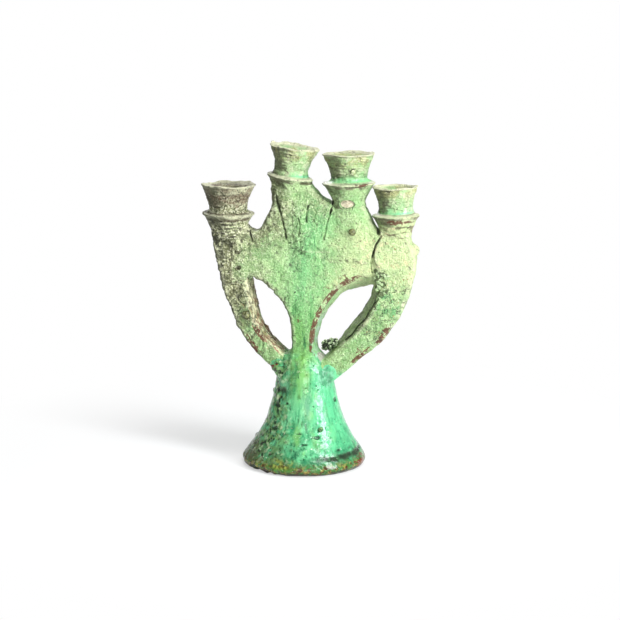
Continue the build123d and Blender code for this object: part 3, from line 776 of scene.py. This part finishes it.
arm_glaze = arm_finish()
member("bent_left_arm", "left_outer_arm", arm_glaze, left_arm_clay, [(foot_clay, 4.5)],
       ((-90, -17, 80), (-8, 17, 222)))
member("bent_right_arm", "right_outer_arm", arm_glaze, right_arm_clay, [(foot_clay, 4.5)],
       ((10, -18, 80), (108, 18, 228)))

# ------------------------------------------------------------
# Fan: one slab that stands on the foot as a narrow stem and opens like a palm between the arms.
# Its right flank is pared thin at the front, its top edge takes the two inner branches.
FAN_RIGHT_FRONT = [
    (10.5, 92), (9.6, 104), (9.4, 112), (10.4, 124), (13.6, 137), (18.4, 149), (26.2, 161), (34.5, 170),
    (44, 175), (54, 179), (66, 181), (78, 183),
]
FAN_RIGHT_BACK = [
    (11.5, 92), (10.8, 104), (11.6, 112), (13.2, 123), (15.8, 134), (20.4, 143), (27.2, 153),
    (35.8, 161.5), (45, 165.5), (56, 168), (67, 169), (78, 170),
]
FAN_TOP = [
    (80, 206), (66, 222), (60, 229), (56, 236), (30, 243), (22, 246), (-20, 246), (-30, 236), (-40, 219),
    (-52, 219), (-66, 214),
]
FAN_LEFT = [
    (-62, 179), (-48, 177), (-36, 171), (-26, 162), (-18.6, 151), (-13.4, 138), (-10.2, 122), (-9.4, 110),
    (-10.5, 92),
]


def fan_clay(points):
    z = points[2]
    half = SLAB_HALF - 0.8 + 0.5 * noise(flat(points), 20.0, 25)
    half = half - 2.2 * ease(z, 205, 240) + 0.8 * (1 - ease(z, 100, 150))
    front = np.vstack([smooth(FAN_RIGHT_FRONT), smooth(FAN_TOP), smooth(FAN_LEFT)])
    back = np.vstack([smooth(FAN_RIGHT_BACK), smooth(FAN_TOP), smooth(FAN_LEFT)])
    return slab(wavy(points, 0.5, 15), front, half, 3.2, back=back)


fan_glaze = stem_and_foot_glaze("fan_green")
member("stem_and_fan", "stem_fan", fan_glaze, fan_clay,
       [(foot_clay, 13.0), (left_arm_clay, 5.0), (right_arm_clay, 1.5)],
       ((-66, -17, 88), (84, 17, 250)), step=1.26 * FINE, reach=9.0)

# ------------------------------------------------------------
# Inner branches: short limbs drawn up out of the fan's top edge, flat and wide at the root and
# round under the cup. Slip smooths the left one into the web beside it and leaves the right one
# a clear crease.
LEFT_BRANCH = [
    (3.0, 200, 16.0, 12.6), (-1.0, 215, 17.0, 13.2), (-6.0, 228, 16.0, 13.2), (-11.5, 241, 14.0, 12.8),
    (-15.6, 252, 12.8, 12.5), (-17.0, 258, 12.5, 12.0),
]
RIGHT_BRANCH = [
    (43.0, 196, 20.0, 12.8), (43.0, 210, 21.0, 13.6), (42.8, 222, 19.5, 14.2), (42.2, 235, 16.2, 14.4),
    (41.7, 247, 14.4, 14.2), (41.5, 253, 14.0, 13.6),
]


def drawn(points, spine):
    """Distance from an upright limb. Spine lists (x, z, half width, half depth) from root to tip."""
    x, y, z = points
    spine = smooth(spine, parts=6)
    at = [np.interp(z, spine[:, 1], spine[:, k]).astype(np.float32) for k in (0, 2, 3)]
    across, deep = np.abs(x - at[0]) / at[1], np.abs(y) / at[2]
    round_off = (across**2.4 + deep**2.4) ** (1 / 2.4)
    return np.maximum((round_off - 1) * np.minimum(at[1], at[2]),
                      np.maximum(spine[0, 1] - z, z - spine[-1, 1]))


def left_branch_clay(points):
    return drawn(wavy(points, 0.5, 31), LEFT_BRANCH)


def right_branch_clay(points):
    return drawn(wavy(points, 0.4, 33), RIGHT_BRANCH)


member("drawn_left_branch", "left_inner_branch", fan_glaze, left_branch_clay, [(fan_clay, 5.0)],
       ((-36, -18, 194), (24, 18, 262)))
member("drawn_right_branch", "right_inner_branch", fan_glaze, right_branch_clay,
       [(fan_clay, 5.0), (left_branch_clay, 1.5), (right_arm_clay, 1.5)], ((18, -19, 192), (70, 19, 256)))

# ------------------------------------------------------------
# Webs: thinner clay pressed into the crotches between the limbs, so that nothing snaps off there.
# Their edges are soft, and their faces lie a little behind the limbs' own.


def pressed(outline, waver, seed, half, rounding):
    """The clay of a web, from the outline of its face."""
    return lambda points: slab(wavy(points, waver, seed), smooth(outline, closed=True), half, rounding)


left_web_clay = pressed([
    (-46, 210), (-46, 217.5), (-40, 221.5), (-34.5, 232), (-30, 243), (-26.5, 254), (-16, 258), (-4, 240),
    (0, 210),
], 0.5, 41, 10.2, 4.0)
centre_web_clay = pressed([
    (-4, 206), (-6, 250), (-3, 266), (4.5, 265.5), (10, 259), (15.5, 253.5), (24.5, 247), (33, 240),
    (34, 206),
], 0.5, 43, 11.2, 5.0)
right_web_clay = pressed([
    (46, 206), (48, 240), (52, 247.5), (56.5, 244), (60, 236.5), (65, 226), (71, 216), (72, 204),
], 0.4, 45, 10.4, 4.0)
wedge_clay = pressed([
    (-66, 206), (-66, 216), (-60, 222), (-54, 223.5), (-48, 219), (-44, 213), (-46, 204),
], 0.4, 47, 10.5, 4.0)
for name, node, clay, neighbours, box in (
    ("left_pressed_web", "left_flank_web", left_web_clay, [(fan_clay, 5.0), (left_branch_clay, 1.2)],
     ((-52, -16, 204), (6, 16, 262))),
    ("centre_pressed_web", "centre_web", centre_web_clay,
     [(fan_clay, 6.0), (left_branch_clay, 6.0), (right_branch_clay, 1.5)], ((-12, -16, 202), (40, 16, 270))),
    ("right_pressed_web", "right_flank_web", right_web_clay,
     [(fan_clay, 4.0), (right_branch_clay, 3.0), (right_arm_clay, 1.5)], ((42, -16, 202), (76, 16, 252))),
    ("crotch_pressed_wedge", "left_crotch_wedge", wedge_clay,
     [(fan_clay, 4.0), (left_arm_clay, 4.0), (left_web_clay, 1.5)], ((-70, -16, 202), (-40, 16, 228))),
):
    member(name, node, fan_glaze, clay, neighbours, box)

# ------------------------------------------------------------
# Candle cups: four small spools thrown off the hump, each with a flared rim, a waist, a drip
# ridge and a funnel that is luted over the limb's end. The wheel's rings stay in the clay.
BORE = 11.5
BORE_DEPTH = 24.0
MOUTH_DISH = 3.5


def cup_outline(neck, ridge, ridge_z, waist, waist_z, rim, rim_z):
    """Outline of a spool in (radius, height over its underside), with the dished mouth and candle's bore."""
    side = smooth([
        (neck, -2.0), (neck + 0.4, 2.0), (neck * 0.6 + ridge * 0.4, ridge_z * 0.5),
        (ridge - 2.4, ridge_z - 3.0), (ridge - 0.3, ridge_z - 0.8), (ridge + 0.3, ridge_z + 0.3),
        (ridge - 0.9, ridge_z + 1.1), (ridge - 3.6, ridge_z + 1.9), (waist + 0.9, ridge_z + 3.4),
        (waist, waist_z), (waist * 0.62 + rim * 0.38, (waist_z + rim_z) / 2),
        (waist * 0.25 + rim * 0.75, rim_z - 5.2), (rim - 0.9, rim_z - 2.2), (rim + 0.3, rim_z - 0.9),
        (rim - 0.4, rim_z), (rim - 3.0, rim_z - 0.3), (BORE + 2.0, rim_z - 3.0), (BORE, rim_z - 4.6),
    ], parts=6)
    bottom = rim_z - MOUTH_DISH - BORE_DEPTH
    return np.vstack([side, [(BORE, bottom), (0, bottom), (0, -2.0)]])


def up_cup(points, x, z, lean):
    """How high each point is along a cup's leaning axis, over the cup's underside."""
    a = math.radians(lean)
    return (points[0] - x) * math.sin(a) + (points[2] - z) * math.cos(a) + 0 * points[1]


def cup_clay(points, x, z, lean, seed, *outline):
    """A thrown spool on its leaning axis, a little out of round, with a wavering rim."""
    px, py, pz = points
    u = (px - x) * math.cos(math.radians(lean)) - (pz - z) * math.sin(math.radians(lean))
    height = up_cup(points, x, z, lean)
    turn = np.arctan2(py + 0 * u, u)
    radius = np.hypot(u, py) * (1 + 0.012 * np.sin(2 * turn + seed) + 0.008 * np.sin(3 * turn + 2 * seed))
    waver = 0.5 * np.sin(2 * turn + 3 * seed) + 0.35 * np.sin(5 * turn + seed)
    height = height + ease(height, 20, 46) * waver
    rings = 0.16 * np.sin(height * 2.3 + 0.8 * np.sin(turn + seed)) * ease(height, 22, 26)
    return turned(cup_outline(*outline), radius, height) - rings


CUPS = {
    "left_outer_cup": ((left_arm_clay, wedge_clay),
                       (-71.2, 215.0, 0.5, 1.0, 14.8, 24.0, 19.5, 17.6, 24.5, 25.1, 47.0)),
    "left_inner_cup": ((left_branch_clay, left_web_clay, centre_web_clay),
                       (-15.6, 251.5, 8.0, 2.0, 12.6, 20.9, 18.1, 15.4, 26.0, 22.9, 46.7)),
    "right_inner_cup": ((right_branch_clay, centre_web_clay, right_web_clay),
                        (41.6, 247.0, -1.0, 3.0, 14.8, 24.0, 17.7, 16.6, 25.0, 23.5, 45.0)),
    "right_outer_cup": ((right_arm_clay,),
                        (85.0, 220.0, -1.5, 4.0, 13.6, 21.4, 15.5, 15.6, 24.0, 20.4, 42.4)),
}


def cup_finish():
    """The cups' glaze shows the throwing rings. It gathers greener in the waist, with a teal painted sheen
    where the waist faces front right, dull olive with painted shade on the left of each wall, dark marks and
    painted shade under the ridge, and pale along the lip, and the ash lies thickest on the left outer cup."""
    g = glaze_batch("cup_green")
    colour = thin_crust(g, 1.2)
    rings = g.cloud(1.8, 16, 2, stretch=(0.06, 0.06, 1))
    colour = g.wash(colour, rgb(112, 120, 66), g.ease(g.rise, 0.5, 0.6), g.ease(rings, 0.46, 0.36, 0, 0.45))
    # Painted shade: the left-facing side of each wall is dull olive, partly its colour, partly painted shade.
    side = g.times(g.ease(g.facing(-0.9, -0.4, 0), 0.35, 0.95),
                   g.ease(g.sum(g.grain, g.mottle), 1.15, 0.85, 0.35, 0.95))
    colour = g.wash(colour, rgb(92, 96, 50), side, g.ease(g.x, -44, -36, 0.85, 0.68))
    waist = g.times(g.ease(g.rise, 0.38, 0.44), g.ease(g.ragged(g.rise, g.patch, 0.6), 0.72, 0.46),
                    g.ease(g.x, -24, 4))
    colour = g.wash(colour, rgb(112, 190, 130), waist, 0.6)
    # The teal on the waist where it faces front right, toward the lamps, is partly colour and partly painted
    # sheen.
    teal_and_sheen = g.times(waist, g.ease(g.rise, 0.50, 0.44), g.ease(g.facing(0.6, -0.8, 0), 0.5, 0.95))
    colour = g.wash(colour, rgb(70, 178, 136), teal_and_sheen, 0.7)
    ochre = g.times(g.ease(g.rise, 0.66, 0.9), g.ease(g.patch, 0.4, 0.54), g.ease(g.x, -44, -36))
    colour = g.wash(colour, rgb(190, 172, 96), ochre, 0.55)
    ash = g.times(g.ease(g.x, -38, -46), g.ease(g.ragged(g.rise, g.mottle, 0.5), 0.54, 0.66))
    colour = g.wash(colour, rgb(240, 238, 208), g.ease(g.x, -38, -46), g.ease(g.grain, 0.5, 0.56, 0, 0.6))
    brown = g.cloud(5, 40, 5, stretch=(0.7, 0.7, 1.4), rough=0.7)
    colour = g.wash(colour, rgb(124, 100, 76), ash, g.ease(brown, 0.42, 0.56, 0.3, 0.85))
    colour = g.wash(colour, rgb(60, 46, 34), ash, g.ease(g.grain, 0.48, 0.41, 0, 0.85))
    ridge = g.times(g.ease(g.rise, 0.375, 0.395), g.ease(g.rise, 0.45, 0.415))
    lip = g.most(g.ease(g.rise, 0.95, 0.985), ridge)
    colour = g.wash(colour, rgb(232, 230, 196), lip, g.ease(g.mottle, 0.36, 0.48, 0.25, 0.9))
    # Dark brown under the ridge and in the crease above it on the left: partly scuffs, partly painted shade
    # under the ridge.
    under = g.times(g.ease(g.rise, 0.28, 0.33), g.ease(g.rise, 0.38, 0.36))
    crease = g.times(g.ease(g.rise, 0.42, 0.44), g.ease(g.rise, 0.475, 0.45), g.ease(g.x, -6, -30))
    under = g.times(g.most(under, crease), g.ease(g.cloud(8, 19, 4), 0.4, 0.5))
    colour = g.wash(colour, rgb(70, 50, 30), under, 0.85)
    burnt = g.cloud(4, 30, 4, stretch=(0.4, 0.4, 1.6), rough=0.65)
    scorched = g.most(g.ease(g.x, -52, -60), g.times(g.ease(g.x, 70, 76), 0.8))
    scorched = g.times(scorched, g.ease(g.rise, 0.36, 0.32), g.ease(burnt, 0.52, 0.57))
    colour = g.wash(colour, g.mix(g.ease(g.x, 0, 20), rgb(44, 36, 22), rgb(74, 36, 22)), scorched, 0.9)
    colour, marks = weathered(g, colour)
    relief = g.sum(g.sum(g.grain, g.times(g.fine, 0.4)), g.times(rings, 0.7))
    return glossed(g, colour, g.times(waist, 0.9), marks, relief)


cup_glaze = cup_finish()
for node, (others, shape) in CUPS.items():
    x, z, reach = shape[0], shape[1], 28
    member("thrown_" + node, node, cup_glaze, lambda points: cup_clay(points, *shape),
           [(other, 3.5) for other in others], ((x - reach, -28, z - 6), (x + reach + 3, 28, z + 52)),
           crusted=lambda points: crust(points, 0.5),
           rise=lambda points: up_cup(points, *shape[:3]) / shape[-1])

# ------------------------------------------------------------
# Collar and wads: soft wet clay smoothed round the stem's root, and pressed on where the arms
# leave the foot. The foot's glaze runs over it.


def lump_clay(points, centre, half_sizes):
    """A flattened ball of clay."""
    scaled = [(axis - c) / h for axis, c, h in zip(points, centre, half_sizes)]
    return (np.sqrt(scaled[0] ** 2 + scaled[1] ** 2 + scaled[2] ** 2) - 1) * min(half_sizes)


def around(centre, spreads):
    """The two corners of a box round a centre."""
    return [c - s for c, s in zip(centre, spreads)], [c + s for c, s in zip(centre, spreads)]


for name, node, centre, half_sizes, limb, blend in (
    ("smoothed_collar", "stem_root_collar", (0.5, 0, 102), (16.5, 16.2, 7.5), fan_clay, 7.0),
    ("left_pressed_wad", "left_root_wad", (-22.5, -10.8, 92), (6.5, 6.0, 6.0), left_arm_clay, 4.0),
    ("right_pressed_wad", "right_root_wad", (23.5, -10.0, 88), (6.2, 5.8, 6.2), right_arm_clay, 4.0),
):
    member(name, node, foot_glaze, lambda points: lump_clay(points, centre, half_sizes),
           [(foot_clay, blend), (limb, blend)], around(centre, [h + 8 for h in half_sizes]))

# ------------------------------------------------------------
# Pellets and knob: small balls of clay that fell on the wet glaze, or were pressed on, and fused
# there in a little collar of glaze. The pellets turned to glass in the fire.


def bead_finish(name, dark, light):
    """A glassy ball under a thin clear glaze, with painted shade in the ring where it sits."""
    g = Glaze(name)
    colour = g.mix(g.ease(g.cloud(2.5, 31), 0.4, 0.6), dark, light)
    # Painted shade: the ring where the ball meets the clay is painted dark.
    colour = g.wash(colour, rgb(30, 28, 16), g.ease(g.fold, 0.03, 0.22))
    return g.fire(colour, 0.15, g.cloud(1.2, 32), 0.3)


def right_inner_cup_clay(points):
    return cup_clay(points, *CUPS["right_inner_cup"][1])


bead_olive = bead_finish("bead_olive", rgb(76, 78, 44), rgb(142, 146, 98))
bead_pale = bead_finish("bead_pale", rgb(150, 166, 116), rgb(214, 222, 180))
bead_green = bead_finish("bead_green", rgb(56, 104, 60), rgb(150, 188, 128))
for name, node, slot, finish, size, centre, clay, blend in (
    ("left_arm_bead", "left_arm_pellet", "arm_glaze", bead_olive, 4.4,
     (-52.6, -15.2, 142), left_arm_clay, 0.5),
    ("right_branch_bead", "right_branch_pellet", "fan_glaze", bead_olive, 3.4,
     (46.0, -16.0, 221.9), right_branch_clay, 0.5),
    ("right_cup_bead", "right_inner_cup_pellet", "cup_glaze", bead_pale, 3.3,
     (47.4, -17.4, 276.4), right_inner_cup_clay, 0.5),
    ("right_arm_bump", "right_arm_knob", "arm_glaze", arm_glaze, 5.0,
     (101.4, 3.0, 203.5), right_arm_clay, 4.0),
    ("foot_bead", "foot_pellet", "foot_glaze", bead_green, 2.6,
     (20.0, -34.2, 40.0), foot_clay, 0.6),
):
    half_sizes = (size, 0.85 * size, 0.95 * size)
    member(name, node, finish, lambda points: lump_clay(points, centre, half_sizes), [(clay, blend)],
           around(centre, [size + 6] * 3), step=0.5 * FINE, crusted=lambda points: 0.6 * crust(points))

# ------------------------------------------------------------
# Kiln crumbs: grit that broke off the kiln and its props, fell on the melting glaze and stuck.
# One clump lies in the right crotch over the foot, one crust runs down the right arm's front.


def crumb_bed(name, lumps):
    """The closed, lumpy bed that crumbs sit in. Lumps list (x, y, z, half width, half depth, half height)."""
    mesh = bmesh.new()
    for lump in lumps:
        made = bmesh.ops.create_icosphere(mesh, subdivisions=3, radius=1.0)
        for vertex in made["verts"]:
            vertex.co = Vector([c + v * h for c, v, h in zip(lump[:3], vertex.co, lump[3:])]) * MM
    bed = bpy.data.objects.new(name, bpy.data.meshes.new(name))
    mesh.to_mesh(bed.data)
    mesh.free()
    bpy.context.collection.objects.link(bed)
    return bed


def crumb_tree(finish):
    """Scatters rough crumbs over a bed, sinks them into it, and makes one mesh of all."""
    tree = bpy.data.node_groups.new("crumbs_on_bed", "GeometryNodeTree")
    face = tree.interface
    face.new_socket("Geometry", in_out="INPUT", socket_type="NodeSocketGeometry")
    for word in ("Crumb size", "Crumbs per square metre"):
        face.new_socket(word, in_out="INPUT", socket_type="NodeSocketFloat")
    face.new_socket("Seed", in_out="INPUT", socket_type="NodeSocketInt")
    face.new_socket("Geometry", in_out="OUTPUT", socket_type="NodeSocketGeometry")

    def add(kind, sockets=None, **settings):
        return add_node(tree, kind, sockets, **settings)

    given = add("NodeGroupInput").outputs
    scatter = add("GeometryNodeDistributePointsOnFaces", {
        "Mesh": given["Geometry"], "Density": given["Crumbs per square metre"], "Seed": given["Seed"]})
    turn = add("FunctionNodeRandomValue", {1: (6.28, 6.28, 6.28), "Seed": given["Seed"]},
               data_type="FLOAT_VECTOR")
    small = add("FunctionNodeRandomValue", {2: 0.35, 3: 1.0, "Seed": given["Seed"]}, data_type="FLOAT")
    size = add("ShaderNodeMath", {0: small.outputs[1], 1: given["Crumb size"]}, operation="MULTIPLY")
    crumb = add("GeometryNodeMeshIcoSphere", {"Radius": 0.5, "Subdivisions": 2})
    many = add("GeometryNodeInstanceOnPoints", {
        "Points": scatter.outputs["Points"], "Instance": crumb.outputs[0], "Rotation": turn.outputs[0],
        "Scale": size.outputs[0]})
    marked = add("GeometryNodeStoreNamedAttribute", {
        "Geometry": many.outputs[0], "Name": "crumb", "Value": 1.0}, data_type="FLOAT", domain="INSTANCE")
    real = add("GeometryNodeRealizeInstances", {0: marked.outputs[0]})
    both = add("GeometryNodeJoinGeometry")
    tree.links.new(given["Geometry"], both.inputs[0])
    tree.links.new(real.outputs[0], both.inputs[0])
    rough = add("ShaderNodeTexNoise", {"Scale": 900.0, "Detail": 1.0})
    centred = add("ShaderNodeVectorMath", {0: rough.outputs["Color"], 1: (0.5, 0.5, 0.5)},
                  operation="SUBTRACT")
    push = add("ShaderNodeVectorMath", {0: centred.outputs[0], 3: 0.0022}, operation="SCALE")
    moved = add("GeometryNodeSetPosition", {"Geometry": both.outputs[0], "Offset": push.outputs[0]})
    dressed = add("GeometryNodeSetMaterial", {"Geometry": moved.outputs[0], "Material": finish})
    out = add("NodeGroupOutput")
    tree.links.new(dressed.outputs[0], out.inputs[0])
    return tree


def crumb_finish():
    """Dark glassy grit with a green bloom where the glaze ran over it, paler on its upward faces."""
    g = Glaze("kiln_grit")
    up = g.add("ShaderNodeSeparateXYZ", {0: g.add("ShaderNodeNewGeometry").outputs["Normal"]}).outputs[2]
    colour = g.mix(g.ease(g.cloud(2.2, 21), 0.42, 0.58), rgb(40, 56, 34), rgb(112, 142, 92))
    colour = g.wash(colour, rgb(150, 178, 124), g.ease(g.x, 48, 60), 0.85)
    colour = g.wash(colour, rgb(204, 218, 178), g.ease(g.sum(up, g.cloud(1.4, 22)), 0.6, 1.2), 0.9)
    crumb = g.add("ShaderNodeAttribute", attribute_name="crumb").outputs["Fac"]
    bed = g.mix(g.ease(g.x, 48, 60), rgb(34, 44, 26), rgb(78, 92, 54))
    colour = g.mix(g.ease(crumb, 0.2, 0.8), bed, colour)
    return g.fire(colour, g.ease(g.cloud(3, 23), 0.4, 0.6, 0.25, 0.6), g.cloud(0.5, 24), 0.4)


crumb_glaze = crumb_finish()
scatter = crumb_tree(crumb_glaze)
for name, node, lumps, size, density in (
    ("crotch_crumbs", "crotch_clump", (
        (19.6, 2.5, 111.4, 3.2, 4.0, 4.4), (23.6, 2.0, 112.8, 3.8, 4.0, 5.0),
        (28.4, 1.5, 114.2, 3.2, 3.6, 4.2)),
     3.2, 1.6e5),
    ("arm_crust_crumbs", "fan_edge_crust", (
        (68.6, -12.4, 186, 2.6, 1.4, 2.8), (72.5, -12.8, 184, 4.2, 1.6, 4.0),
        (77.0, -13.0, 181, 3.0, 1.4, 3.4),
        (70.0, -12.6, 178, 3.2, 1.6, 3.6), (74.5, -12.8, 174, 3.6, 1.6, 3.6),
        (70.5, -12.0, 170, 3.4, 2.0, 3.4),
        (77.0, -12.6, 168.5, 3.0, 1.6, 3.0), (72.5, -12.0, 164.5, 3.2, 2.0, 2.8)), 3.3, 1.4e5),
):
    bed = crumb_bed(name, lumps)
    scattered = bed.modifiers.new("crumbs", "NODES")
    scattered.node_group = scatter
    given = {item.name: item.identifier for item in scatter.interface.items_tree if item.in_out == "INPUT"}
    scattered[given["Crumb size"]] = size * MM
    scattered[given["Crumbs per square metre"]] = density
    scattered[given["Seed"]] = 7
    whole = bpy.data.meshes.new_from_object(bed.evaluated_get(bpy.context.evaluated_depsgraph_get()))
    bed.modifiers.remove(scattered)
    bed.data = whole
    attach(bed, "root")
    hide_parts(node)
